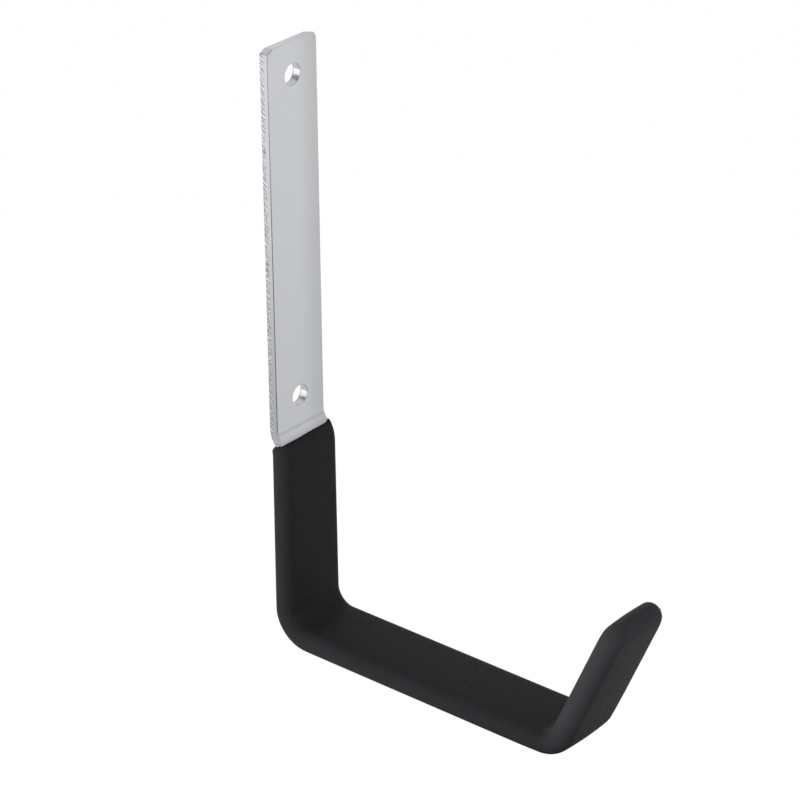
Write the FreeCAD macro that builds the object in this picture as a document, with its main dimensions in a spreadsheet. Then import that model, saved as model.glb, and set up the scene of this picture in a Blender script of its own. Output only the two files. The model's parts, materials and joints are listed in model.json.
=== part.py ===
import FreeCAD, Part
import math
import os
import Sketcher

# A garage utility hook: a flat steel strap that two screws hold to the wall. Below the screws the strap is
# joggled forward, then bent into a level arm with an upturned tip. A soft black vinyl sleeve covers it from
# the joggle to the tip.
# Frame: +Z up, the wall is the plane y = 0, the arm points along -Y and X runs across the strap. The origin
# is on the wall, midway between the two screw holes. Lengths are millimetres, angles degrees.

DIMENSIONS = {
    "strap_width": 25.4,
    "strap_thickness": 3.5,
    "top_margin": 12.5,           # upper hole to the strap's top end, on the front face
    "top_rake": 0.6,              # how much lower the top end is cut on the back face
    "top_corner_radius": 2.4,
    "hole_spacing": 124.0,
    "hole_diameter": 8.0,
    "joggle_drop": 11.0,          # lower hole to the joggle's crease on the front face
    "joggle_angle": 34.0,         # slope of the joggle from the vertical
    "joggle_bend_radius": 4.5,    # inside of both joggle bends
    "wall_gap": 0.7,              # room between the wall and the back of the sleeve
    "arm_drop": 92.0,             # lower hole to the upper face of the steel arm
    "arm_reach": 129.8,           # wall to the corner of arm and tip, on the upper face
    "main_bend_radius": 8.9,      # inside of the bend from upright to arm
    "tip_bend_radius": 8.4,       # inside of the bend from arm to tip
    "tip_angle": 66.2,            # rise of the tip from the level arm
    "tip_length": 58.8,           # that corner to the end of the steel, on the inner face
    "tip_corner_radius": 5.0,
    "edge_roll": 0.4,             # rounding that the punch leaves around the front face
    "coat_thickness": 2.4,
    "tip_cover": 2.5,             # sleeve beyond the end of the steel
    "mouth_lap": 3.0,             # how far the sleeve laps up over the lower joggle bend, in front
    "mouth_drop": 2.3,            # how much lower the sleeve's mouth is at the back
    "sleeve_edge_radius": 3.9,
    "mouth_edge_radius": 1.2,
}

# Places that the strap and the sleeve share, as expressions on the sheet
LOWER_HOLE = "-sizes.hole_spacing / 2"
JOGGLE_OFFSET = "(sizes.coat_thickness + sizes.wall_gap)"
HALF_JOGGLE = "tan(0.5 deg * sizes.joggle_angle)"
HALF_TIP = "tan(0.5 deg * sizes.tip_angle)"
LOWER_JOGGLE_HEIGHT = (
    f"({LOWER_HOLE} - sizes.joggle_drop - {JOGGLE_OFFSET} / tan(1 deg * sizes.joggle_angle)"
    f" - (sizes.strap_thickness + sizes.joggle_bend_radius) * {HALF_JOGGLE})"
)
TIP_RUN = f"sizes.tip_length - sizes.tip_bend_radius * {HALF_TIP}"
# Headings in the side view, where Y runs right and Z up
DOWN = FreeCAD.Vector(0, -1, 0)
FORWARD = FreeCAD.Vector(-1, 0, 0)
OUT_OF_VIEW = FreeCAD.Vector(0, 0, 1)
# The two faces of the strip, on the right and the left of its heading
FRONT, BACK = 1, -1
CLOSE = 1e-4

doc = FreeCAD.newDocument("utility_hook")
sheet = doc.addObject("Spreadsheet::Sheet", "sizes")
for row, (alias, number) in enumerate(DIMENSIONS.items(), start=1):
    sheet.set(f"A{row}", alias)
    sheet.set(f"B{row}", str(number))
    sheet.setAlias(f"B{row}", alias)
doc.recompute()


def size(alias):
    """The number in a cell of the sheet."""
    return float(sheet.get(alias))


def new_body(name):
    """An empty PartDesign body whose label names its file."""
    body = doc.addObject("PartDesign::Body", name)
    body.Label = name
    return body


def new_sketch(body, name, role):
    """A sketch on one of the body's own origin planes."""
    plane = next(feature for feature in body.Origin.OriginFeatures if feature.Role == role)
    sketch = body.newObject("Sketcher::SketchObject", name)
    sketch.AttachmentSupport = (plane, [""])
    sketch.MapMode = "FlatFace"
    return sketch


def drive(sketch, kind, *where, by):
    """Add a dimension to a sketch and bind it to an expression on the sheet."""
    index = sketch.addConstraint(Sketcher.Constraint(kind, *where))
    sketch.setExpression(f"Constraints[{index}]", by)


def turned(heading, degrees):
    """A heading turned towards the front by an angle."""
    return FreeCAD.Rotation(OUT_OF_VIEW, -degrees).multVec(heading)


class Bend:
    """One bend of the strip: its centre, its two radii and the headings before and after it.

    A bend towards the front has its centre on the front side, where the radius is the small one.
    """

    def __init__(self, centre_y, centre_z, front_radius, back_radius, before, after):
        self.centre_at = (centre_y, centre_z)
        self.radius = {FRONT: front_radius, BACK: back_radius}
        self.before = before
        self.after = after
        self.side = FRONT if before.cross(after).z < 0 else BACK

    def centre(self, sketch):
        """The centre as it is now, from the expressions."""
        y, z = (float(sketch.evalExpression(text)) for text in self.centre_at)
        return FreeCAD.Vector(y, z, 0)

    def ends(self, sketch, face):
        """Where one face of the strip enters and leaves the bend."""
        radius = float(sketch.evalExpression(self.radius[face]))
        outwards = [OUT_OF_VIEW.cross(heading) * self.side for heading in (self.before, self.after)]
        return [self.centre(sketch) + direction * radius for direction in outwards]

    def arc(self, sketch, face):
        """The arc that one face follows, counter-clockwise as a sketch keeps it."""
        enter, leave = self.ends(sketch, face)
        circle = Part.Circle(self.centre(sketch), OUT_OF_VIEW, enter.distanceToPoint(self.centre(sketch)))
        first, last = (leave, enter) if self.side == FRONT else (enter, leave)
        return Part.ArcOfCircle(circle, circle.parameter(first), circle.parameter(last))

    def end_points(self):
        """Which end of the arc the strip enters by, and which it leaves by."""
        return (2, 1) if self.side == FRONT else (1, 2)


def strip_outline(sketch, start_height, start_drop, bends, end_run):
    """Draw the closed side outline of a bent strip and bind its dimensions.

    The front face runs down from the start height and the back face from start_drop below it. Both go through
    every bend, and on for end_run after the last one.
    """
    begin = {FRONT: start_height, BACK: f"{start_height} - {start_drop}"}
    run = float(sketch.evalExpression(end_run))
    first_line, last_line = {}, {}
    centres = []
    for face in (FRONT, BACK):
        arcs = [bend.arc(sketch, face) for bend in bends]
        entries, exits = zip(*(bend.ends(sketch, face) for bend in bends))
        height = float(sketch.evalExpression(begin[face]))
        starts = [FreeCAD.Vector(entries[0].x, height, 0), *exits]
        stops = [*entries, exits[-1] + bends[-1].after * run]
        lines = [sketch.addGeometry(Part.LineSegment(a, b), False) for a, b in zip(starts, stops)]
        curves = [sketch.addGeometry(arc, False) for arc in arcs]
        for index, (bend, curve) in enumerate(zip(bends, curves)):
            enter, leave = bend.end_points()
            sketch.addConstraint(Sketcher.Constraint("Tangent", lines[index], 2, curve, enter))
            sketch.addConstraint(Sketcher.Constraint("Tangent", curve, leave, lines[index + 1], 1))
            drive(sketch, "Radius", curve, arcs[index].Radius, by=bend.radius[face])
        sketch.addConstraint(Sketcher.Constraint("Vertical", lines[0]))
        drive(sketch, "DistanceY", lines[0], 1, height, by=begin[face])
        first_line[face], last_line[face] = lines[0], lines[-1]
        centres.append(curves)
    for bend, front_arc, back_arc in zip(bends, *centres):
        centre = bend.centre(sketch)
        sketch.addConstraint(Sketcher.Constraint("Coincident", front_arc, 3, back_arc, 3))
        drive(sketch, "DistanceX", front_arc, 3, centre.x, by=bend.centre_at[0])
        drive(sketch, "DistanceY", front_arc, 3, centre.y, by=bend.centre_at[1])
    for lines, point in ((first_line, 1), (last_line, 2)):
        corners = [sketch.getPoint(lines[face], point) for face in (FRONT, BACK)]
        cap = sketch.addGeometry(Part.LineSegment(*corners), False)
        sketch.addConstraint(Sketcher.Constraint("Coincident", cap, 1, lines[FRONT], point))
        sketch.addConstraint(Sketcher.Constraint("Coincident", cap, 2, lines[BACK], point))
    sketch.addConstraint(Sketcher.Constraint("Perpendicular", cap, last_line[FRONT]))
    drive(sketch, "Distance", last_line[FRONT], run, by=end_run)
    heading = bends[-1].after
    angle = math.atan2(heading.y, heading.x)
    drive(sketch, "Angle", last_line[FRONT], angle, by="180 deg - 1 deg * sizes.tip_angle")
    sketch.addConstraint(Sketcher.Constraint("Parallel", last_line[FRONT], last_line[BACK]))
    sketch.recompute()
    assert sketch.FullyConstrained, sketch.Label


def pad_across(body, sketch, width):
    """Pad a side outline evenly to both sides of the middle plane."""
    pad = body.newObject("PartDesign::Pad", body.Name + "_pad")
    pad.Profile = sketch
    pad.SideType = "Symmetric"
    pad.setExpression("Length", width)
    doc.recompute()
    return pad


def edge_names(feature, test):
    """The names of the feature's edges whose end points all pass the test."""
    edges = enumerate(feature.Shape.Edges, start=1)
    return [f"Edge{index}" for index, edge in edges if all(test(vertex.Point) for vertex in edge.Vertexes)]


def fillet(body, name, names, radius):
    """Round named edges of the body's last feature."""
    base = body.Tip
    feature = body.newObject("PartDesign::Fillet", name)
    feature.Base = (base, names)
    feature.setExpression("Radius", radius)
    doc.recompute()
    return feature


def on_upright(point):
    """Whether a point belongs to the half of the hook beside the wall."""
    return point.y > -size("arm_reach") / 2


def tip_height(point):
    """How far along the tip's direction a point lies. The upright doesn't count."""
    along = turned(FORWARD, size("tip_angle"))
    return -math.inf if on_upright(point) else point.y * along.x + point.z * along.y


def end_corners(feature, width, along, rake=0.0):
    """The two edges that cross the strip's thickness at its end, furthest along a direction within a rake."""
    far = max(along(vertex.Point) for vertex in feature.Shape.Vertexes) - rake
    return [
        name
        for side in (-1, 1)
        for name in edge_names(
            feature,
            lambda point: along(point) > far - CLOSE and abs(point.x - side * width / 2) < CLOSE,
        )
    ]


def shared_bends(coat):
    """The main bend and the tip bend, with the radii grown by a coat around the strap."""
    arm_top = f"{LOWER_HOLE} - sizes.arm_drop"
    main = Bend(
        f"-({JOGGLE_OFFSET} + sizes.strap_thickness + sizes.main_bend_radius)",
        f"{arm_top} + sizes.main_bend_radius",
        f"sizes.main_bend_radius - {coat}",
        f"sizes.main_bend_radius + sizes.strap_thickness + {coat}",
        DOWN,
        FORWARD,
    )
    tip = Bend(
        f"-(sizes.arm_reach - sizes.tip_bend_radius * {HALF_TIP})",
        f"{arm_top} + sizes.tip_bend_radius",
        f"sizes.tip_bend_radius - {coat}",
        f"sizes.tip_bend_radius + sizes.strap_thickness + {coat}",
        FORWARD,
        turned(FORWARD, size("tip_angle")),
    )
    return [main, tip]


def joggle_bends():
    """The two bends that carry the strap forward, clear of the wall by the sleeve's thickness."""
    sloped = turned(DOWN, size("joggle_angle"))
    small = "sizes.joggle_bend_radius"
    large = "sizes.joggle_bend_radius + sizes.strap_thickness"
    upper = Bend(
        f"-(sizes.strap_thickness + {small})",
        f"{LOWER_HOLE} - sizes.joggle_drop + {small} * {HALF_JOGGLE}",
        small,
        large,
        DOWN,
        sloped,
    )
    lower = Bend(f"{small} - {JOGGLE_OFFSET}", LOWER_JOGGLE_HEIGHT, large, small, sloped, DOWN)
    return [upper, lower]


def build_strap():
    """The punched and bent steel strap, which runs on inside the sleeve to the tip."""
    body = new_body("steel_strap")
    side = new_sketch(body, "strap_side", "YZ_Plane")
    top = "sizes.hole_spacing / 2 + sizes.top_margin"
    strip_outline(side, top, "sizes.top_rake", joggle_bends() + shared_bends("0"), TIP_RUN)
    pad = pad_across(body, side, "sizes.strap_width")
    width = size("strap_width")
    top_corners = end_corners(pad, width, lambda point: point.z, size("top_rake"))
    blank = fillet(body, "top_corners", top_corners, "sizes.top_corner_radius")
    blank = fillet(body, "tip_corners", end_corners(blank, width, tip_height), "sizes.tip_corner_radius")

    holes = new_sketch(body, "screw_holes", "XZ_Plane")
    radius = size("hole_diameter") / 2
    for sign in (1, -1):
        centre = FreeCAD.Vector(0, sign * size("hole_spacing") / 2, 0)
        circle = holes.addGeometry(Part.Circle(centre, OUT_OF_VIEW, radius), False)
        holes.addConstraint(Sketcher.Constraint("PointOnObject", circle, 3, -2))
        drive(holes, "DistanceY", circle, 3, centre.y, by=f"{sign} * sizes.hole_spacing / 2")
        drive(holes, "Diameter", circle, 2 * radius, by="sizes.hole_diameter")
    before = blank.Shape.Volume
    punch = body.newObject("PartDesign::Pocket", "punch")
    punch.Profile = holes
    punch.Type = "ThroughAll"
    punch.SideType = "Symmetric"
    doc.recompute()
    punched = before - punch.Shape.Volume
    assert abs(punched - 2 * math.pi * radius**2 * size("strap_thickness")) < 1, punched

    front = -size("strap_thickness")
    rolled = edge_names(
        punch,
        lambda point: abs(point.y - front) < CLOSE and abs(abs(point.x) - width / 2) > CLOSE,
    )
    fillet(body, "rolled_edges", rolled, "sizes.edge_roll")
    return body


def build_sleeve(strap):
    """The vinyl sleeve: a rounded form around the bent strap, open at its mouth, with the strap taken out."""
    body = new_body("sleeve_form")
    side = new_sketch(body, "sleeve_side", "YZ_Plane")
    mouth = f"{LOWER_JOGGLE_HEIGHT} + sizes.mouth_lap"
    run = f"{TIP_RUN} + sizes.tip_cover"
    strip_outline(side, mouth, "sizes.mouth_drop", shared_bends("sizes.coat_thickness"), run)
    pad = pad_across(body, side, "sizes.strap_width + 2 * sizes.coat_thickness")
    width = size("strap_width") + 2 * size("coat_thickness")
    corner_radius = "sizes.tip_corner_radius + sizes.coat_thickness"
    tipped = fillet(body, "sleeve_tip_corners", end_corners(pad, width, tip_height), corner_radius)

    back = -size("wall_gap")
    depth = size("strap_thickness") + 2 * size("coat_thickness")
    low = float(side.evalExpression(mouth)) - size("mouth_drop")
    bend_height = float(side.evalExpression(shared_bends("0")[0].centre_at[1]))

    def on_mouth(point):
        """Whether a point lies on the sloped mouth, which rises from the back to the front."""
        rise = size("mouth_drop") * (back - point.y) / depth
        return on_upright(point) and abs(point.z - low - rise) < CLOSE

    def on_bend(point):
        """Whether a point lies where the upright runs into the main bend."""
        return on_upright(point) and abs(point.z - bend_height) < CLOSE

    upright_ends = edge_names(tipped, lambda point: on_mouth(point) or on_bend(point))
    across = edge_names(tipped, on_mouth) + edge_names(tipped, on_bend)
    long_edges = [name for name in upright_ends if name not in across]
    rounded = fillet(body, "sleeve_long_edges", long_edges, "sizes.sleeve_edge_radius")
    fillet(body, "sleeve_mouth_edge", edge_names(rounded, on_mouth), "sizes.mouth_edge_radius")

    sleeve = doc.addObject("Part::Cut", "grip_sleeve")
    sleeve.Label = "grip_sleeve"
    sleeve.Base = body
    sleeve.Tool = strap
    doc.recompute()
    return sleeve


strap = build_strap()
sleeve = build_sleeve(strap)

doc.recompute()
for item in doc.Objects:
    assert not {"Invalid", "Error"} & set(item.State), (item.Name, item.State)
os.makedirs("parts", exist_ok=True)
for item in (strap, sleeve):
    shape = item.Shape
    assert not shape.isNull() and shape.isValid() and len(shape.Solids) == 1, item.Label
    shape.exportStep(f"parts/{item.Label}.step")
    box = shape.BoundBox
    print(item.Label, round(shape.Volume, 1), [round(v, 2) for v in (box.XMin, box.YMin, box.ZMin)],
          [round(v, 2) for v in (box.XMax, box.YMax, box.ZMax)])
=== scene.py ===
# %% [markdown]
# # A garage utility hook
# A flat steel strap is screwed to the wall. Below its screws it steps forward, turns into a level arm and
# ends in an upturned tip. From the step on it wears a soft black vinyl coat. This lesson dresses the two
# CAD solids: the steel gets its sheared edges and its bright zinc plate, the vinyl its tapered mouth and
# pebbled skin.

# %% Load the frame
import json

import bmesh
import bpy
import numpy as np
from mathutils import Matrix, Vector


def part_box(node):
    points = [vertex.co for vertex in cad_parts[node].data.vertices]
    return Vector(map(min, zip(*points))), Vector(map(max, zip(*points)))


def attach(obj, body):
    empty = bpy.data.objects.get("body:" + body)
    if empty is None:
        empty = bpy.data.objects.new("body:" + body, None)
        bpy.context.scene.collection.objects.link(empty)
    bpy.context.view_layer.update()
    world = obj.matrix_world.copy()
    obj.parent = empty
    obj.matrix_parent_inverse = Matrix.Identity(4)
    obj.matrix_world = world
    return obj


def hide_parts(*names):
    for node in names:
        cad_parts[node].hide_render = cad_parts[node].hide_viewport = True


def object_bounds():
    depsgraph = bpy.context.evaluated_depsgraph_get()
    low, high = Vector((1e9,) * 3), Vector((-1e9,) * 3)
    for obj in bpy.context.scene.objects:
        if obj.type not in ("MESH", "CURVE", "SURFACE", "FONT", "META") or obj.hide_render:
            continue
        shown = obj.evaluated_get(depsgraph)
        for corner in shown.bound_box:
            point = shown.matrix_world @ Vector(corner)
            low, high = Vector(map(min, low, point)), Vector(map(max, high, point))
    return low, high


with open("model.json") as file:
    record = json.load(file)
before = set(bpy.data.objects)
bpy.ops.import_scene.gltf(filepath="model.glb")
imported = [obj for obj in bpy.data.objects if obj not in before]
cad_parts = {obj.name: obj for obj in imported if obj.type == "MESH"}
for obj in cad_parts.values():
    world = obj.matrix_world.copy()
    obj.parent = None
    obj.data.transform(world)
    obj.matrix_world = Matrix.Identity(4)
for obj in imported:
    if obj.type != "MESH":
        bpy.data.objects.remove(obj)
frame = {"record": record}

cad_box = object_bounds()
MM = 0.001
ROOT = "root"
print("CAD box in mm:", [[round(value / MM, 1) for value in corner] for corner in cad_box])

# %% [markdown]
# ## Sizes
# Widths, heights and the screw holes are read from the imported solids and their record, so this file
# follows the part. What a box can't tell, such as bend radii, is repeated here from the part's source or
# drawn finer than there, in millimetres.

# %% Driving sizes
strap_low, strap_high = (np.array(corner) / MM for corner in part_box("steel_strap"))
sleeve_low, sleeve_high = (np.array(corner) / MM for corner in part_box("grip_sleeve"))
screws = next(mount for mount in frame["record"]["mounts"] if mount["name"] == "wall_screws")

STRAP_WIDTH = strap_high[0] - strap_low[0]
STRAP_TOP = strap_high[2]
HOLE_SPACING = screws["dims"]["spacing_y_mm"]
HOLE_RADIUS = screws["dims"]["hole_r_mm"]
COAT = (sleeve_high[0] - sleeve_low[0] - STRAP_WIDTH) / 2

STRAP_THICKNESS = 3.5
TOP_RAKE = 0.6             # how much lower the top end is cut on the back face
TOP_TWIST = 0.35           # rise of the cut's front edge from the middle to the right
LEFT_CLIP = (2.7, 1.4, 0.7)    # top left corner: cut off across, cut off down, rounding of the cut's ends
RIGHT_CLIP = (1.5, 2.2, 2.4)   # and the top right corner
TIP_CORNER_RADIUS = 5.0
EDGE_ROLL = (0.33, 0.15)   # rounding of the front face along its left and its right edge
HOLE_ROLL = 0.12
ARM_DROP = 92.0            # lower hole to the upper face of the steel arm
ARM_REACH = 129.8
TIP_ANGLE = np.radians(66.2)
TIP_LENGTH = 58.8
TIP_COVER = 2.8            # vinyl beyond the end of the steel
JOGGLE_ANGLE = np.radians(34.0)
JOGGLE_OFFSET = COAT + 0.7
EASE_ANGLE = np.radians(12.0)
EASE_DROP = 10.3           # lower hole to the start of the joggle on the front face, as a sharp corner
CREASE_DROP = 11.95        # lower hole to the crease that the press leaves
# inside radii of the bends, from the top: joggle's ease, its crease, its lower bend, main bend, tip bend
BEND_RADII = np.array([9.5, 0.4, 10.5, 8.9, 8.4])
print("strap", round(STRAP_WIDTH, 2), "x", STRAP_THICKNESS, "mm, coat", round(COAT, 2), "mm")

# %% [markdown]
# ## The line that the strap follows
# Seen from the side, the middle of the strap is a chain of straight runs and arcs. It could be drawn as a
# Blender curve, but numbers along a curve object are awkward to get at. Here each stretch keeps its start,
# its heading and its curvature, and a point anywhere along it is one formula for runs and arcs alike: the
# chord of an arc.


# %% Chain of runs and arcs
def bent_line(corners, radii):
    """Stretches of a line that is straight between corners and rounded at each by its radius.

    At a corner that turns by t the arc starts r * tan(t / 2) before it, and its curvature is 1 / r.
    """
    corners = np.asarray(corners, float)
    runs = np.diff(corners, axis=0)
    lengths = np.hypot(*runs.T)
    headings = np.unwrap(np.arctan2(runs[:, 1], runs[:, 0]))
    turns = np.diff(headings)
    cut = np.r_[0, np.asarray(radii) * np.tan(np.abs(turns) / 2), 0]
    straight = lengths - cut[:-1] - cut[1:]
    stretch = np.empty(2 * len(straight) - 1)
    stretch[0::2] = straight
    stretch[1::2] = np.asarray(radii) * np.abs(turns)
    curvature = np.zeros_like(stretch)
    curvature[1::2] = np.sign(turns) / radii
    heading = headings[0] + np.r_[0, np.cumsum(curvature * stretch)[:-1]]
    chord = stretch * np.sinc(curvature * stretch / (2 * np.pi))
    middle = heading + curvature * stretch / 2
    steps = np.c_[chord * np.cos(middle), chord * np.sin(middle)]
    start = corners[0] + np.r_[[[0, 0]], np.cumsum(steps, axis=0)[:-1]]
    return {"at": np.r_[0, np.cumsum(stretch)], "start": start, "heading": heading, "curvature": curvature}


def place(line, x, along, out):
    """Points in metres at width x, distance along the line and distance out of it towards the front.

    Point = stretch's start + chord in the mean heading, then out along the heading turned by a right angle.
    """
    x, along, out = np.broadcast_arrays(x, along, out)
    index = np.clip(np.searchsorted(line["at"], along, side="right") - 1, 0, len(line["heading"]) - 1)
    past = along - line["at"][index]
    bend = line["curvature"][index] * past
    mean = line["heading"][index] + bend / 2
    chord = past * np.sinc(bend / (2 * np.pi))
    heading = line["heading"][index] + bend
    forward = line["start"][index, 0] + chord * np.cos(mean) - out * np.sin(heading)
    height = line["start"][index, 1] + chord * np.sin(mean) + out * np.cos(heading)
    return np.stack([x, -forward, height], axis=-1) * MM


# %% The strap's own line
half = STRAP_THICKNESS / 2
lower_hole = -HOLE_SPACING / 2
arm_top = lower_hole - ARM_DROP
upright_front = STRAP_THICKNESS + JOGGLE_OFFSET
crease_front = STRAP_THICKNESS + (CREASE_DROP - EASE_DROP) * np.tan(EASE_ANGLE)
joggle_low = lower_hole - CREASE_DROP - (upright_front - crease_front) / np.tan(JOGGLE_ANGLE)
# corners of the front and upper face, as (forward of the wall, height)
face_corners = np.array([
    (STRAP_THICKNESS, STRAP_TOP),
    (STRAP_THICKNESS, lower_hole - EASE_DROP),
    (crease_front, lower_hole - CREASE_DROP),
    (upright_front, joggle_low),
    (upright_front, arm_top),
    (ARM_REACH, arm_top),
    (ARM_REACH + TIP_LENGTH * np.cos(TIP_ANGLE), arm_top + TIP_LENGTH * np.sin(TIP_ANGLE)),
])
steps = np.diff(face_corners, axis=0)
steps /= np.hypot(*steps.T)[:, None]
normals = np.c_[-steps[:, 1], steps[:, 0]]
before, after = normals[np.r_[0, :len(normals)]], normals[np.r_[:len(normals), -1]]
mitre = (before + after) / (1 + np.sum(before * after, axis=1))[:, None]
strap_line = bent_line(face_corners - half * mitre, BEND_RADII + half)
STRAP_LENGTH = strap_line["at"][-1]
JOGGLE_END = strap_line["at"][6]      # where the lower joggle bend runs into the upright
print("strap length along its middle", round(STRAP_LENGTH, 1), "mm")

# %% [markdown]
# ## Grids of points
# Every new piece is a grid of points, worked out in whole arrays. It could be modelled by hand from a
# cube, but then no size would drive it. These helpers turn a grid into quads and the quads into a mesh,
# and merge the points where two grids meet, so that the seams are closed.


# %% Mesh helpers
MERGE_DISTANCE = 1e-7      # in metres


def mesh_object(name, points, faces, material, attributes=None):
    """A smooth mesh of points in metres and quads, with outward faces and float attributes on its points."""
    mesh = bpy.data.meshes.new(name)
    used, corner = np.unique(faces, return_inverse=True)
    mesh.from_pydata(points.reshape(-1, 3)[used], [], corner.reshape(faces.shape).tolist())
    for title, values in (attributes or {}).items():
        values = np.ravel(values)[used].astype(np.float32)
        mesh.attributes.new(title, "FLOAT", "POINT").data.foreach_set("value", values)
    shell = bmesh.new()
    shell.from_mesh(mesh)
    bmesh.ops.remove_doubles(shell, verts=shell.verts, dist=MERGE_DISTANCE)
    bmesh.ops.recalc_face_normals(shell, faces=shell.faces)
    open_edges = sum(not edge.is_manifold for edge in shell.edges)
    shell.to_mesh(mesh)
    shell.free()
    mesh.shade_smooth()
    mesh.materials.append(material)
    piece = bpy.data.objects.new(name, mesh)
    bpy.context.scene.collection.objects.link(piece)
    print(name, len(mesh.vertices), "points,", len(mesh.polygons), "faces,", open_edges, "open edges")
    return piece


def grid_quads(index):
    """Quads between neighbours of a grid of point numbers."""
    return np.stack([index[:-1, :-1], index[:-1, 1:], index[1:, 1:], index[1:, :-1]], axis=-1).reshape(-1, 4)


def ring_quads(index):
    """Quads between neighbouring rows of a grid of point numbers whose rows close on themselves."""
    return grid_quads(np.c_[index, index[:, :1]])


def rim_of(rows, columns):
    """Row and column numbers once around the edge of a block of a grid, from (first, last) pairs."""
    down, across = np.arange(rows[0], rows[1] + 1), np.arange(columns[0], columns[1] + 1)
    ends, sides = np.ones(len(across) - 1, int), np.ones(len(down) - 1, int)
    row = np.r_[ends * down[0], down[:-1], ends * down[-1], down[:0:-1]]
    column = np.r_[across[:-1], sides * across[-1], across[:0:-1], sides * across[0]]
    return row, column


def slanted_noise(shape, grain, slant, seed):
    """Repeatable noise of unit spread: white noise blurred to a slanted grain, in samples.

    The blur is a Gaussian in the spectrum. What changes slowly along the edge is taken out, so that no broad
    patches are left.
    """
    sharpness, slowest = 20, 0.12
    spectrum = np.fft.fft2(np.random.default_rng(seed).standard_normal(shape))
    down, along = np.meshgrid(*(np.fft.fftfreq(count) for count in shape), indexing="ij")
    blur = ((down - slant * along) * grain[0]) ** 2 + (along * grain[1]) ** 2
    quick = 1 - np.exp(-((along / slowest) ** 2))
    field = np.fft.ifft2(spectrum * np.exp(-sharpness * blur) * quick).real
    return field / field.std()


# %% [markdown]
# ## Colours and nodes
# Colours are written as sRGB hex, the way a colour picker shows them, and one function turns them to the
# linear values that Blender computes with. One more function adds a node, sets it and links it.


# %% Colour and node helpers
def linear(hex_colour):
    """Linear RGBA from an sRGB hex colour."""
    value = np.array([int(hex_colour[i : i + 2], 16) for i in (1, 3, 5)]) / 255
    return (*np.where(value <= 0.04045, value / 12.92, ((value + 0.055) / 1.055) ** 2.4).tolist(), 1.0)


def add_node(tree, kind, inputs=None, **settings):
    """Add a node, set its properties, and give each named input a value or a link from another socket."""
    new = tree.nodes.new(kind)
    for name, value in settings.items():
        setattr(new, name, value)
    for name, value in (inputs or {}).items():
        if isinstance(value, bpy.types.NodeSocket):
            tree.links.new(value, new.inputs[name])
        else:
            new.inputs[name].default_value = value
    return new


def new_material(name):
    """An empty node material, its tree and its surface shader."""
    material = bpy.data.materials.new(name)
    material.use_nodes = True
    return material, material.node_tree, material.node_tree.nodes["Principled BSDF"]


# %% [markdown]
# ## Zinc plate
# Cold-rolled strap, punched, bent and then plated with bright zinc. The plate is a satin metal that keeps
# the faint lengthwise grain of the rolling, under a clear film whose grey drifts a little, and its grey is
# painted darker towards the right, a painted shade. On the sheared edges it coats torn steel, which is
# duller and rougher, with bright specks and gouges whose hollows are painted dark, a painted shade. The
# press leaves a dull mark at its crease, which is also painted darker, and the front below the crease is
# painted a little darker too: painted shade. A painted picture could show this, but it would have to be
# fitted to the mesh, so how torn and how gouged a place is, with the painted shade that goes with them, are
# attributes of the mesh itself.


# %% Zinc-plated steel
def zinc_plated_steel():
    """Satin zinc: a grey metal with a slow tint and rolling streaks, duller where it is torn or gouged, and
    with painted shade towards the right, in the gouges and at the crease.
    """
    material, tree, shader = new_material("bright_zinc_plated_steel")
    place_in = add_node(tree, "ShaderNodeTexCoord").outputs["Object"]
    tint_size, streak_width, streak_length = 38 * MM, 0.5 * MM, 60 * MM
    smoothest, satin_rough, torn_rough = 0.17, 0.25, 0.30
    tint = add_node(tree, "ShaderNodeTexNoise", {"Vector": place_in, "Scale": 1 / tint_size, "Detail": 1.0})
    cool = add_node(tree, "ShaderNodeMix", {
        0: tint.outputs["Fac"], 6: linear("#c1c3c8"), 7: linear("#c3c4c5")}, data_type="RGBA")
    across_strap = add_node(tree, "ShaderNodeSeparateXYZ", {0: place_in})
    # painted shade: the grey darkens from the middle of the strap to its right edge
    right_shade = add_node(tree, "ShaderNodeMapRange", {
        "Value": across_strap.outputs["X"], "From Min": 0, "From Max": STRAP_WIDTH / 2 * MM},
        interpolation_type="SMOOTHSTEP")
    tint_and_right_shade = add_node(tree, "ShaderNodeMix", {
        0: right_shade.outputs["Result"], 6: cool.outputs[2], 7: linear("#b5b6b8")}, data_type="RGBA")
    # the torn finish of the sheared edges; on the front face this mix also carries the painted shade around
    # the crease
    torn_and_shade = add_node(tree, "ShaderNodeAttribute", attribute_name="torn_and_shade").outputs["Fac"]
    torn_finish_and_shade = add_node(tree, "ShaderNodeMix", {
        0: torn_and_shade, 6: tint_and_right_shade.outputs[2], 7: linear("#9fa0a3")}, data_type="RGBA")
    # painted shade in the gouges: the colour is mixed towards dark grey by how deeply a place is gouged
    gouge_and_shade = add_node(tree, "ShaderNodeAttribute", attribute_name="gouge_and_shade").outputs["Fac"]
    colour = add_node(tree, "ShaderNodeMix", {
        0: gouge_and_shade, 6: torn_finish_and_shade.outputs[2], 7: linear("#5e5f62")}, data_type="RGBA")
    stretched = add_node(tree, "ShaderNodeMapping", {
        "Vector": place_in, "Scale": (1 / streak_width, 1 / streak_width, 1 / streak_length)})
    streaks = add_node(tree, "ShaderNodeTexNoise", {
        "Vector": stretched.outputs["Vector"], "Scale": 1.0, "Detail": 2.0})
    satin = add_node(tree, "ShaderNodeMapRange", {
        "Value": streaks.outputs["Fac"], "To Min": smoothest, "To Max": satin_rough})
    roughness = add_node(tree, "ShaderNodeMix", {0: torn_and_shade, 2: satin.outputs["Result"], 3: torn_rough})
    tree.links.new(colour.outputs[2], shader.inputs["Base Color"])
    tree.links.new(roughness.outputs[0], shader.inputs["Roughness"])
    shader.inputs["Metallic"].default_value = 1.0
    return material
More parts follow.
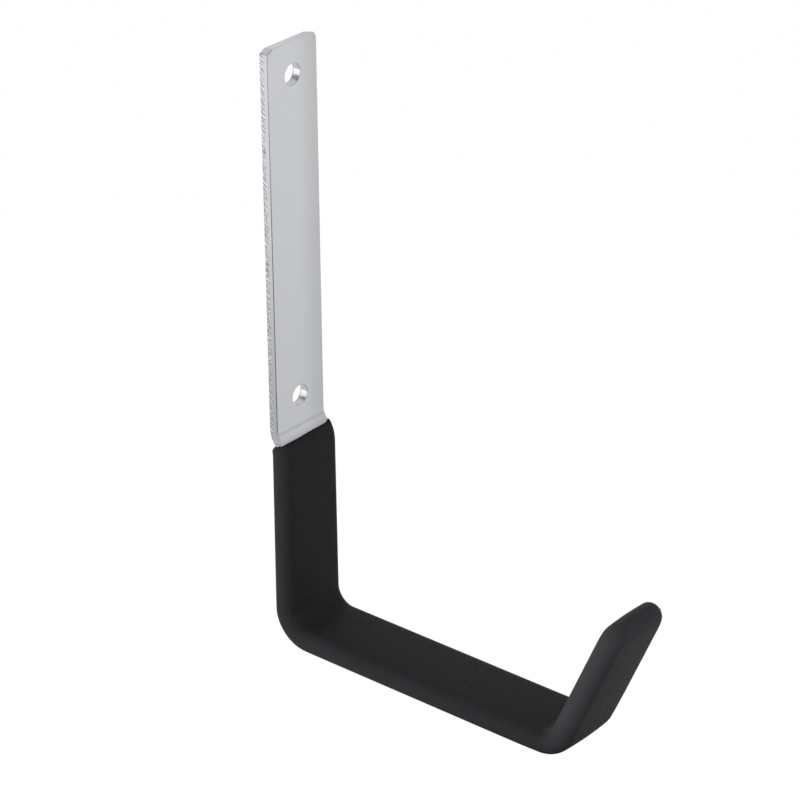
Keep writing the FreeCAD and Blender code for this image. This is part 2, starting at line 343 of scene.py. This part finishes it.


# %% [markdown]
# ## Vinyl
# The coat is plasticised PVC with a matte, finely pebbled skin. It is nearly black, so what shows is the
# broad, weak sheen of its skin and the grain where light grazes it. Real pebbles would take millions of
# faces, so they are a bump. Towards the tip the skin is painted a little lighter, a painted light that
# stands for the tip being better lit; how much is an attribute of the mesh again.


# %% Black vinyl
def pebbled_black_vinyl():
    """Matte black vinyl: noise as bump, a slow change of shade, and painted light that makes it lighter
    towards the tip.
    """
    material, tree, shader = new_material("pebbled_black_vinyl")
    place_in = add_node(tree, "ShaderNodeTexCoord").outputs["Object"]
    pebble_size, pebble_height, patch_size = 0.7 * MM, 0.25 * MM, 6 * MM
    pebbles = add_node(tree, "ShaderNodeTexNoise", {
        "Vector": place_in, "Scale": 1 / pebble_size, "Detail": 2.0, "Roughness": 0.6})
    patches = add_node(tree, "ShaderNodeTexNoise", {
        "Vector": place_in, "Scale": 1 / patch_size, "Detail": 1.0})
    shade = add_node(tree, "ShaderNodeMix", {
        0: patches.outputs["Fac"], 6: linear("#242326"), 7: linear("#282729")}, data_type="RGBA")
    # painted light: towards the tip the skin is mixed to a lighter grey, standing for the tip being better
    # lit
    tip_painted_light = add_node(tree, "ShaderNodeAttribute", attribute_name="tip_painted_light").outputs["Fac"]
    tip_lightened = add_node(tree, "ShaderNodeMix", {
        0: tip_painted_light, 6: shade.outputs[2], 7: linear("#363538")}, data_type="RGBA")
    skin = add_node(tree, "ShaderNodeBump", {
        "Height": pebbles.outputs["Fac"], "Strength": 1.0, "Distance": pebble_height})
    tree.links.new(tip_lightened.outputs[2], shader.inputs["Base Color"])
    tree.links.new(skin.outputs["Normal"], shader.inputs["Normal"])
    shader.inputs["Roughness"].default_value = 0.7
    shader.inputs["Specular IOR Level"].default_value = 0.06
    return material


zinc = zinc_plated_steel()
vinyl = pebbled_black_vinyl()
print("finishes:", zinc.name, "and", vinyl.name)

# %% [markdown]
# ## The strap, with the edges that the shear leaves
# A shear rolls the edge over on the side it enters, burnishes a smooth band, and tears the rest. A bevel
# modifier would only round the edge, so the whole rim is a profile carried around the strap's outline:
# roll, smooth band, torn zone. The two faces are grids in the plan of the flat strap, and each hole is a
# ring of points from a square in the grid to the round wall. One last step lays that plan along the bent
# line.

# %% Rows of the plan
FINE_STEP, COARSE_STEP = 0.25, 2.2      # between rows in sight and under the coat
COLUMNS = 40
CLIP_ROWS, TIP_ROUND_ROWS = (6, 8), 8   # on the two arcs of a top corner, and on a corner of the tip
MOUTH_RISE = 4.42                       # the coat's mouth, up the strap from the end of the joggle
FINE_BEYOND = 6.0                       # how far under the coat the fine rows run on
MOUTH_AT = JOGGLE_END - MOUTH_RISE
CREASE_AT = strap_line["at"][3:5].mean()    # the middle of the crease's own bend


def clipped_corner(across, down, rounding):
    """Distance from the end, half width and turn of the outline along a corner cut off by a rounded chamfer.

    Two arcs of the rounding's radius, each tangent to the chamfer and to the end or the side.
    """
    slope = np.arctan2(down, across)
    first, second = np.linspace(0, slope, CLIP_ROWS[0]), np.linspace(slope, np.pi / 2, CLIP_ROWS[1])
    before_end, before_side = rounding * np.tan(slope / 2), rounding * np.tan((np.pi / 2 - slope) / 2)
    from_end = np.r_[rounding * (1 - np.cos(first)), down + before_side - rounding * np.cos(second)]
    edge = np.r_[rounding * np.sin(first) - across - before_end, rounding * (np.sin(second) - 1)]
    return from_end, STRAP_WIDTH / 2 + edge, np.r_[first, second]


clips = [clipped_corner(*LEFT_CLIP), clipped_corner(*RIGHT_CLIP)]
top_rows = np.unique(np.concatenate([clip[0] for clip in clips]).round(4))
top_half, top_turn = (
    np.stack([np.interp(top_rows, clip[0], clip[k]) for clip in clips], axis=1) for k in (1, 2))
tip_turn = np.linspace(0, np.pi / 2, TIP_ROUND_ROWS)
tip_rows = TIP_CORNER_RADIUS * (1 - np.cos(tip_turn))
tip_half = STRAP_WIDTH / 2 - TIP_CORNER_RADIUS * (1 - np.sin(tip_turn))
fine_end = MOUTH_AT + FINE_BEYOND
fine = np.linspace(top_rows[-1], fine_end, int((fine_end - top_rows[-1]) / FINE_STEP))
coarse_end = STRAP_LENGTH - TIP_CORNER_RADIUS
coarse = np.linspace(fine_end, coarse_end, int((coarse_end - fine_end) / COARSE_STEP))
rows_at = np.r_[top_rows[:-1], fine[:-1], coarse[:-1], STRAP_LENGTH - tip_rows[::-1]]
middle_rows = len(rows_at) - len(top_rows) - len(tip_rows) + 1
# half width and outward lean of the edge, one column for the left edge and one for the right
half_width = np.concatenate([
    top_half[:-1], np.full((middle_rows, 2), STRAP_WIDTH / 2), np.tile(tip_half[::-1, None], 2)])
lean = np.concatenate([
    -np.cos(top_turn[:-1]), np.zeros((middle_rows, 2)), np.tile(np.cos(tip_turn)[::-1, None], 2)])
spread = np.sqrt(1 - lean**2)
share = np.linspace(-1, 1, COLUMNS + 1)
side_of = (share > 0).astype(int)
rightward = (share + 1) / 2
lean_inside = lean[:, :1] * (1 - rightward) + lean[:, 1:] * rightward
roll_inside = EDGE_ROLL[0] * (1 - rightward) + EDGE_ROLL[1] * rightward
print(len(rows_at), "rows of", len(share), "points")

# %% The rim's profile
ROLL_DROOP, ROLL_REACH = 0.10, 1.8      # the face sags a little towards a sheared edge
BURNISH_END = 0.10                      # where the smooth band ends, as height in the thickness
BURNISH_DULL = 0.9                      # share of the torn finish on the smooth band
TEAR_SLOPE, TEAR_ROUGH = -0.06, 0.03    # lean and roughness of the torn zone
GOUGE_DEPTH = 0.06                      # of the slanted strokes that the tear leaves
BACK_INSET = 0.10
STRAIGHT_FROM = 0.9                     # share of the edge's normal across the strap from where it is torn
ROLL_LEVELS, BAND_LEVELS, TORN_LEVELS = 6, 4, 14
roll_turn = np.linspace(0, np.pi / 2, ROLL_LEVELS)
band_share = np.linspace(0, 1, BAND_LEVELS)[1:, None]
torn_levels = np.linspace(BURNISH_END, -half, TORN_LEVELS)[1:]


def top_rise(x, out):
    """How far the cut at the top stands above a square end at the front's height.

    The twist by the share of the half width, fading to the back, less the rake by the share of the depth.
    """
    depth = (half - out) / STRAP_THICKNESS
    return TOP_TWIST * x / (STRAP_WIDTH / 2) * (1 - depth) - TOP_RAKE * depth


def rim_profile(start, roll):
    """Height and inset of every level of the rim: roll, smooth band, torn zone.

    A quarter round, an upright wall and a slope, with one column for each start and roll.
    """
    roll_end = start - roll
    level = [
        start - roll * (1 - np.cos(roll_turn))[:, None],
        roll_end + (BURNISH_END - roll_end) * band_share,
        torn_levels[:, None] + 0 * roll,
    ]
    inset = [
        roll * (1 - np.sin(roll_turn))[:, None],
        0 * band_share * roll,
        TEAR_SLOPE * (BURNISH_END - torn_levels)[:, None] + 0 * roll,
    ]
    return np.concatenate(level), np.concatenate(inset)


def torn_relief(count):
    """Relief, gouges with the painted shade in them, and dullness of the torn zone: slanted strokes, with
    bright specks between them.

    Noise above a threshold gouges and noise below one shines. Both fade in with depth past the smooth band.
    """
    fade_in, gouge_gain, gouge_from, speck_gain, speck_from = 0.4, 0.8, 0.05, 1.6, 0.1
    shape = (len(torn_levels), count)
    strokes = slanted_noise(shape, grain=(2.2, 0.5), slant=-0.8, seed=11)
    depth = np.clip((BURNISH_END - torn_levels)[:, None] / fade_in, 0, 1)
    gouge_and_shade = depth * np.clip(gouge_gain * strokes - gouge_from, 0, 1)
    dull = 1 - depth * np.clip(-speck_gain * strokes - speck_from, 0, 1)
    bumps = TEAR_ROUGH * slanted_noise(shape, grain=(1.2, 0.8), slant=-1.0, seed=5)
    return bumps * depth - GOUGE_DEPTH * gouge_and_shade, gouge_and_shade, dull


# %% Points of the strap
class Plan:
    """Points of the flat strap as (across, along, out, torn finish and painted shade, gouge and painted
    shade), block by block, and their faces.
    """

    def __init__(self):
        self.blocks, self.faces, self.count = [], [], 0

    def add(self, x, along, out, torn_and_shade=0.0, gouge_and_shade=0.0):
        """Keep a block of points and return their numbers."""
        block = np.stack(np.broadcast_arrays(x, along, out, torn_and_shade, gouge_and_shade), axis=-1).astype(float)
        size = block[..., 0].size
        self.blocks.append(block.reshape(-1, 5))
        self.count += size
        return np.arange(self.count - size, self.count).reshape(block.shape[:-1])

    def points(self):
        """All points so far."""
        return np.concatenate(self.blocks)


def add_face(plan, inset, out, droop, torn_and_shade):
    """One flat face, inset from the outline, that sags near its left edge by the droop times a square."""
    x = share * (half_width[:, side_of] - inset * spread[:, side_of])
    near_edge = np.clip((ROLL_REACH - STRAP_WIDTH / 2 - x) / ROLL_REACH, 0, 1)
    sag = droop * near_edge**2 * (1 - np.abs(lean_inside))
    rise = np.clip(-lean_inside, 0, 1) * top_rise(x, out)
    along = rows_at[:, None] + lean_inside * (rise - inset)
    return plan.add(x, along, out - sag, torn_and_shade)


def add_rim(plan, front, back):
    """The profile carried around the outline: each point moves along the outline's normal by its inset."""
    row, column = rim_of((0, len(rows_at) - 1), (0, COLUMNS))
    side = np.where(column == 0, -1.0, np.where(column == COLUMNS, 1.0, 0.0))
    normal_x = side * spread[row, side_of[column]]
    normal_along = np.where(side == 0, lean[row, 0], lean[row, side_of[column]])
    outline_x = share[column] * half_width[row, side_of[column]]
    straight = np.clip((np.abs(normal_x) - STRAIGHT_FROM) / (1 - STRAIGHT_FROM), 0, 1)
    level, inset = rim_profile(plan.points()[front[row, column], 2], roll_inside[column])
    offset = np.clip(-normal_along, 0, 1) * top_rise(outline_x, level) - inset
    relief, gouges_and_shade, dull = torn_relief(len(row))
    torn_and_shade, gouge_and_shade = np.zeros_like(offset), np.zeros_like(offset)
    offset[-len(torn_levels):] += relief * straight
    gouge_and_shade[-len(torn_levels):] = gouges_and_shade * straight
    torn_and_shade[:len(roll_turn)] = BURNISH_DULL * np.sin(roll_turn)[:, None] ** 3 * straight
    torn_and_shade[len(roll_turn):] = BURNISH_DULL * straight
    torn_and_shade[-len(torn_levels):] = dull * straight
    rim = plan.add(outline_x + normal_x * offset, rows_at[row] + normal_along * offset, level, torn_and_shade, gouge_and_shade)
    rim[0] = front[row, column]
    plan.faces.append(ring_quads(np.r_[rim, back[row, column][None]]))


HOLE_BLOCK, COLUMNS_BESIDE = 8.0, 7     # half height of the block that a hole takes, and columns beside it
HOLE_FLARE, BACK_BREAK = 0.15, 0.3      # how much wider the wall ends, and the break of the back face
SLIDE_RINGS, WALL_RINGS = 5, 4          # from the square to the circle, and on each half of the wall


def add_hole(plan, front, back, hole_at):
    """Rings from a square of the front face over the rolled rim, down the wall and out to the back face.

    A point slides in a straight line from the square to the circle. Returns the block of the grid that it
    replaces.
    """
    rows = np.searchsorted(rows_at, [hole_at - HOLE_BLOCK, hole_at + HOLE_BLOCK])
    columns = np.array([COLUMNS_BESIDE, COLUMNS - COLUMNS_BESIDE])
    row, column = rim_of(rows, columns)
    front_ring, back_ring = front[row, column], back[row, column]
    square = plan.points()[front_ring, :2] - (0, hole_at)
    back_square = plan.points()[back_ring, :2] - (0, hole_at)
    ray = square / np.hypot(*square.T)[:, None]
    slide = np.linspace(0, 1, SLIDE_RINGS + 1)[1:, None, None]
    rolled = half - HOLE_ROLL * (1 - np.cos(roll_turn[1:]))
    wall_out = np.r_[rolled, np.linspace(half - HOLE_ROLL, -half, 2 * WALL_RINGS + 1)[1:]]
    widening = np.linspace(0, HOLE_FLARE, WALL_RINGS + 1)[1:]
    flare = np.r_[HOLE_ROLL * (1 - np.sin(roll_turn[1:])), np.zeros(WALL_RINGS), widening]
    mouth = ray * (HOLE_RADIUS + HOLE_ROLL)
    back_mouth = ray * (HOLE_RADIUS + BACK_BREAK)
    parts = [
        (square + slide * (mouth - square), half),
        (ray * (HOLE_RADIUS + flare)[:, None, None], wall_out[:, None]),
        (back_mouth + slide[:-1] * (back_square - back_mouth), -half),
    ]
    rings = [plan.add(at[..., 0], at[..., 1] + hole_at, out) for at, out in parts]
    plan.faces.append(ring_quads(np.concatenate([front_ring[None], *rings, back_ring[None]])))
    return slice(*rows), slice(*columns)


# %% Build the strap
# dullness that the press leaves on the front face, by distance past the crease; the same values paint shade,
# darker above and at the crease and from a little below it on
CREASE_SHADE_AT, CREASE_DULL_AND_SHADE = [-2.6, -1.2, -0.5, 0.45, 0.6, 3.1], [0.0, 0.44, 0.42, 0.62, 0.0, 0.30]
crease_dull_and_shade = np.interp(rows_at - CREASE_AT, CREASE_SHADE_AT, CREASE_DULL_AND_SHADE)
plan = Plan()
front_face = add_face(plan, roll_inside, half, ROLL_DROOP, crease_dull_and_shade[:, None])
back_face = add_face(plan, BACK_INSET + TEAR_SLOPE * half, -half, 0.0, 0.0)
add_rim(plan, front_face, back_face)
kept = np.ones((len(rows_at) - 1, COLUMNS), bool)
for height in (HOLE_SPACING / 2, lower_hole):
    kept[add_hole(plan, front_face, back_face, STRAP_TOP - height)] = False
plan.faces += [grid_quads(face)[kept.ravel()] for face in (front_face, back_face)]
across, along, out, torn_and_shade, gouge_and_shade = plan.points().T
strap_points = place(strap_line, across, along, out)
strap_piece = mesh_object(
    "sheared_strap", strap_points, np.concatenate(plan.faces), zinc, {"torn_and_shade": torn_and_shade, "gouge_and_shade": gouge_and_shade})
strap_piece.modifiers.new("flat_face_shading", "WEIGHTED_NORMAL")
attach(strap_piece, ROOT)
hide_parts("steel_strap")

# %% [markdown]
# ## The vinyl coat
# Soft vinyl covers the arm from the foot of the joggle to past the tip. It could be a thickened copy of
# the strap, but then its mouth and tip would be as square as the steel. So it is a rounded section carried
# along the same line. It thins to a fine lip at its mouth and closes in a dome over the end of the steel.
# Its inner wall lies on the steel, so it is a real sleeve.

# %% Section and rings
ARC_STEPS, FLAT_STEPS = 9, 14
arc = np.linspace(0, np.pi / 2, ARC_STEPS)
quarter = [arc + k * np.pi / 2 for k in range(4)]
slide = np.linspace(0, 1, FLAT_STEPS + 1)[1:-1]
# corner signs and directions: point = corner * (half size - radius) + direction * radius
ones = np.ones(ARC_STEPS)
corner_x = np.concatenate([ones, 1 - 2 * slide, -ones, -ones, 2 * slide - 1, ones])
corner_out = np.repeat([1.0, -1.0], 2 * ARC_STEPS + len(slide))
flat = np.full(len(slide), np.pi / 2)
direction = np.concatenate([quarter[0], flat, quarter[1], quarter[2], flat + np.pi, quarter[3]])
print(len(direction), "points around the coat")

# %% Uneven mouth and tip
LIP, LIP_LENGTH, LIP_RADIUS = 0.3, 4.0, 1.0     # thickness, length and rounding of the thin lip
TAPER_LENGTHS = [1.6, 4.0, 7.0]     # of the mouth, at the left edge, the middle and the right edge
# how far the mouth's edge is drawn up, by share of the strap's half width
MOUTH_SIDE, MOUTH_EDGE = [-0.2, 0.3, 0.95, 1.02, 1.1], [0.0, -0.2, -0.25, -1.05, -1.3]
MOUTH_REACH = 20.0                  # how far down the coat the mouth's unevenness dies out
TIP_DOME, TIP_TAPER = 5.5, 10.0     # lengths over which the tip rounds off, in thickness and in width
TIP_SKEW = 0.35                     # the tip's right edge reaches this much further than its middle


def rounded_sections(along, half_x, half_out, radius, crown, shift):
    """Points of rounded rectangles with crowned long sides, one row for each place along the line.

    Near the mouth the rows follow the mouth's uneven edge, and the taper there is short on the left and long
    on the right: its rows are spread to the taper's own length, and the rows beyond ease back over the reach.
    """
    half_x, half_out, radius, crown, shift = (
        np.broadcast_to(value, along.shape)[:, None] for value in (half_x, half_out, radius, crown, shift))
    x = corner_x * (half_x - radius) + np.cos(direction) * radius
    out = corner_out * (half_out - radius) + np.sin(direction) * radius
    out = out + corner_out * crown * (1 - (x / half_x) ** 2) + shift
    side = x / (STRAP_WIDTH / 2)
    edge = np.interp(side, MOUTH_SIDE, MOUTH_EDGE)
    past = (along - MOUTH_AT)[:, None]
    in_lip, beyond = np.clip(past / LIP_LENGTH, 0, 1), np.clip((past - LIP_LENGTH) / MOUTH_REACH, 0, 1)
    taper = np.interp(side, [-1.0, 0.0, 1.0], TAPER_LENGTHS) - LIP_LENGTH
    skew = TIP_SKEW * side * np.clip(1 - (along[-1] - along) / TIP_TAPER, 0, 1)[:, None]
    return place(strap_line, x, along[:, None] + (edge + taper * in_lip) * (1 - beyond) + skew, out)


# %% Thickness along the coat
COAT_CHANGE = np.array([-0.2, 0.1, 0.1, 0.05])      # at the mouth, the main bend, the tip's start and its end
LIP_POWER = 0.28
COAT_END = STRAP_LENGTH + TIP_COVER
main_bend_at, tip_run_start = strap_line["at"][[7, 10]]


def coat_at(along):
    """Coat thickness: a steep power curve from the lip at the mouth, then a slow swell towards the bends."""
    full = np.interp(along, [MOUTH_AT, main_bend_at, tip_run_start, COAT_END], COAT + COAT_CHANGE)
    rise = np.clip((along - MOUTH_AT) / LIP_LENGTH, 0, 1)
    return LIP + (full - LIP) * rise**LIP_POWER


def pulled_in(left, length):
    """Share by which an elliptic end is narrower than the full size, at a distance left to the end."""
    return 1 - np.sqrt(1 - np.clip(1 - left / length, 0, 1) ** 2)


# %% Outer skin
CROWN = 0.6                         # swell of the wide faces
COAT_RADIUS, FULL_ROUND = 4.2, 0.97     # rounding of the edges, and its largest share of half the thickness
POOLING = np.array([0.05, 0.3])     # vinyl gathers inside the main bend and the tip bend, and thins outside
BEND_REACH = 10.0
LIP_COUNT, BODY_COUNT, DOME_COUNT = 16, 260, 24     # rows
lip_rows = MOUTH_AT + LIP_LENGTH * np.linspace(0, 1, LIP_COUNT) ** 2
tip_radius = TIP_CORNER_RADIUS + COAT
dome_rows = COAT_END - TIP_TAPER * (1 - np.sin(np.linspace(0, np.pi / 2, DOME_COUNT)))
body_rows = np.linspace(lip_rows[-1], dome_rows[0], BODY_COUNT)
outer_rows = np.r_[lip_rows[:-1], body_rows[:-1], dome_rows]
thick = coat_at(outer_rows)
left = COAT_END - outer_rows
outer_half = half + thick
outer_x = STRAP_WIDTH / 2 + thick - tip_radius * pulled_in(left, TIP_TAPER)
outer_out = outer_half * (1 - pulled_in(left, TIP_DOME))
rounding = np.interp(thick, [LIP, COAT + COAT_CHANGE[0]], [LIP_RADIUS, COAT_RADIUS])
edge_radius = np.minimum(FULL_ROUND * outer_out, rounding)
crown = CROWN * np.clip((thick - LIP) / (COAT - LIP), 0, 1) * outer_out / outer_half
bends = strap_line["at"][[7, 9]] + strap_line["at"][[8, 10]]
shift = np.exp(-(((outer_rows[:, None] - bends / 2) / BEND_REACH) ** 2)) @ POOLING
outer = rounded_sections(outer_rows, outer_x, outer_out, edge_radius, crown, shift)
print(len(outer_rows), "rows, coat", thick.min().round(2), "to", thick.max().round(2), "mm thick")

# %% Inner wall and the whole coat
INNER_RADIUS = 0.3
inner_rows = np.r_[MOUTH_AT, body_rows[body_rows < STRAP_LENGTH - TIP_CORNER_RADIUS], STRAP_LENGTH]
inner = rounded_sections(inner_rows, STRAP_WIDTH / 2, half, INNER_RADIUS, 0.0, 0.0)
rings = np.concatenate([inner[::-1], outer])
ring_index = np.arange(rings[..., 0].size).reshape(rings.shape[:2])
sides = len(direction) // 2
closing = np.stack([ring_index[0, :sides], ring_index[0, ::-1][:sides]])
coat_faces = np.concatenate([ring_quads(ring_index), grid_quads(closing)])
ring_rows = np.r_[inner_rows[::-1], outer_rows]
# painted light on the coat: none up to the tip bend, rising to full a little way up the tip
tip_painted_light = np.repeat(np.interp(ring_rows, strap_line["at"][[9, 10]] + (0, BEND_REACH), [0, 1]), len(direction))
coat_piece = mesh_object("vinyl_coat", rings, coat_faces, vinyl, {"tip_painted_light": tip_painted_light})
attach(coat_piece, ROOT)
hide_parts("grip_sleeve")

# %% [markdown]
# ## Camera
# The camera was matched to the edges of the strap: a long lens, looking down from the hook's front left.
# It could track an empty, but the fitted numbers place it exactly.

# %% Camera
AZIMUTH, ELEVATION, ROLL = np.radians([-49.773, 26.629, -0.539])
DISTANCE, LENS, SENSOR = 1.21878, 154.605, 36.0
CENTRE_RIGHT, CENTRE_UP = 0.03936, -0.05828      # the picture's middle, from the part's origin
level = np.array([np.cos(AZIMUTH), np.sin(AZIMUTH), 0])
towards = np.array([
    np.sin(AZIMUTH) * np.cos(ELEVATION), -np.cos(AZIMUTH) * np.cos(ELEVATION), np.sin(ELEVATION)])
upright = np.cross(towards, level)
right = level * np.cos(ROLL) + upright * np.sin(ROLL)
up = upright * np.cos(ROLL) - level * np.sin(ROLL)
pose = np.eye(4)
pose[:3] = np.c_[right, up, towards, right * CENTRE_RIGHT + up * CENTRE_UP + towards * DISTANCE]
camera = bpy.data.objects.new("camera", bpy.data.cameras.new("camera"))
camera.data.lens = LENS
camera.data.sensor_width = SENSOR
camera.matrix_world = Matrix(pose.tolist())
bpy.context.scene.collection.objects.link(camera)
bpy.context.scene.camera = camera
print("camera", round(DISTANCE, 2), "m away, lens", round(LENS), "mm")

# %% [markdown]
# ## Studio
# A white light table lies below, and the room is white at the right and darker at the left and above. Four
# soft boxes stand around the hook. The low one at the left also shows in the zinc, and the other three
# light only the vinyl, because lamps mirrored in bright metal burn out its edges. A black card lies in
# front, out of the picture: it draws the thin dark line along the steel's front edge.

# %% Floor and card
FLOOR_DROP, FLOOR_SIZE = 0.12, 2.4
CARD_SIZE, CARD_AT, CARD_LIFT = (0.73, 0.68), (-0.285, -0.38), 2 * MM
TABLE_NEAR, TABLE_FAR = (0.35, 0.84), (0.85, 1.12)      # distance in metres, brightness of the table there
GLOW_SHARE, GLOW_SHARE_SEEN = 0.9, 0.992                # of its own light, the rest takes the hook's shadow
floor_height = cad_box[0][2] - FLOOR_DROP


def flat_sheet(name, centre, size, height, material):
    """A level rectangle."""
    reach = np.array([(-1, -1), (1, -1), (1, 1), (-1, 1)]) * np.array(size) / 2 + centre
    return mesh_object(name, np.c_[reach, np.full(4, height)], np.array([[0, 1, 2, 3]]), material)


floor_material, floor_tree, floor_shader = new_material("white_light_table")
floor_shader.inputs["Base Color"].default_value = linear("#f4f4f4")
floor_shader.inputs["Roughness"].default_value = 0.9
seen = add_node(floor_tree, "ShaderNodeLightPath").outputs["Is Camera Ray"]
distance = add_node(floor_tree, "ShaderNodeVectorMath", {
    0: add_node(floor_tree, "ShaderNodeTexCoord").outputs["Object"]}, operation="LENGTH")
around = add_node(floor_tree, "ShaderNodeMapRange", {
    "Value": distance.outputs["Value"], "From Min": TABLE_NEAR[0], "From Max": TABLE_FAR[0],
    "To Min": TABLE_NEAR[1], "To Max": TABLE_FAR[1]})
strength = add_node(floor_tree, "ShaderNodeMix", {0: seen, 2: around.outputs["Result"], 3: 1.0})
glow = add_node(floor_tree, "ShaderNodeEmission", {
    "Color": linear("#ffffff"), "Strength": strength.outputs[0]})
lit_share = add_node(floor_tree, "ShaderNodeMapRange", {
    "Value": seen, "To Min": GLOW_SHARE, "To Max": GLOW_SHARE_SEEN})
floor_mix = add_node(floor_tree, "ShaderNodeMixShader", {
    0: lit_share.outputs["Result"], 1: floor_shader.outputs["BSDF"], 2: glow.outputs["Emission"]})
floor_tree.links.new(floor_mix.outputs[0], floor_tree.nodes["Material Output"].inputs["Surface"])
flat_sheet("floor", (0, 0), FLOOR_SIZE, floor_height, floor_material)

card_material, _, card_shader = new_material("black_card")
card_shader.inputs["Base Color"].default_value = linear("#202020")
card_shader.inputs["Roughness"].default_value = 1.0
card = flat_sheet("card", CARD_AT, CARD_SIZE, floor_height + CARD_LIFT, card_material)
card.visible_camera = False

# %% World
# brightness of the room at the sine of a height above the horizon, on its dark left and on its white right
DARK_SIDE = {0.0: 0.8, 0.3: 0.6, 0.6: 0.42, 1.0: 0.15}
WHITE_SIDE = {0.0: 0.78, 0.08: 0.80, 0.24: 0.97, 0.37: 0.98, 0.5: 0.85, 0.85: 0.97, 0.95: 0.2, 1.0: 0.1}
SIDE_CHANGE = (-0.35, -0.05)        # from where to where across the room the one turns into the other
world = bpy.data.worlds.new("studio")
bpy.context.scene.world = world
world.use_nodes = True
sky = world.node_tree
ray = add_node(sky, "ShaderNodeSeparateXYZ", {0: add_node(sky, "ShaderNodeTexCoord").outputs["Generated"]})
side_colours = []
for levels in (DARK_SIDE, WHITE_SIDE):
    heights = add_node(sky, "ShaderNodeValToRGB", {"Fac": ray.outputs["Z"]})
    stops = heights.color_ramp.elements
    for height in list(levels)[1:-1]:
        stops.new(height)
    for stop, level in zip(stops, levels.values()):
        stop.color = (level, level, level, 1)
    side_colours.append(heights.outputs["Color"])
rightness = add_node(sky, "ShaderNodeMapRange", {
    "Value": ray.outputs["X"], "From Min": SIDE_CHANGE[0], "From Max": SIDE_CHANGE[1]})
room_colour = add_node(sky, "ShaderNodeMix", {
    0: rightness.outputs["Result"], 6: side_colours[0], 7: side_colours[1]}, data_type="RGBA")
room = sky.nodes["Background"]
sky.links.new(room_colour.outputs[2], room.inputs["Color"])
room.inputs["Strength"].default_value = 1.0
white = add_node(sky, "ShaderNodeBackground", {"Color": linear("#ffffff"), "Strength": 1.0})
sky_mix = add_node(sky, "ShaderNodeMixShader", {
    0: add_node(sky, "ShaderNodeLightPath").outputs["Is Camera Ray"],
    1: room.outputs["Background"], 2: white.outputs["Background"]})
sky.links.new(sky_mix.outputs[0], sky.nodes["World Output"].inputs["Surface"])


# %% Lamps
def soft_box(name, position, target, size, power, mirrored):
    """A square area lamp that faces a point, hidden from the camera, and from the steel unless mirrored."""
    lamp = bpy.data.lights.new(name, "AREA")
    lamp.size = size
    lamp.energy = power
    box = bpy.data.objects.new(name, lamp)
    position, target = np.array(position, float), np.array(target, float)
    away = (position - target) / np.linalg.norm(position - target)
    across = np.cross((0, 0, 1), away)
    across /= np.linalg.norm(across)
    matrix = np.eye(4)
    matrix[:3] = np.c_[across, np.cross(away, across), away, position]
    box.matrix_world = Matrix(matrix.tolist())
    box.visible_camera = False
    box.visible_glossy = mirrored
    bpy.context.scene.collection.objects.link(box)
    print(name, power, "W")


soft_box("low_left_box", (-0.40, 0.34, -0.03), (0, 0, -0.03), 0.46, 0.6, True)
soft_box("left_box", (-0.60, 0.12, -0.06), (0, -0.08, -0.12), 0.45, 3.3, False)
soft_box("front_box", (-0.35, -0.65, -0.24), (0, -0.10, -0.13), 0.30, 1.1, False)
soft_box("rim_box", (0.58, 0.24, -0.16), (0, -0.08, -0.14), 0.40, 9.0, False)
bpy.context.scene.view_settings.view_transform = "Standard"
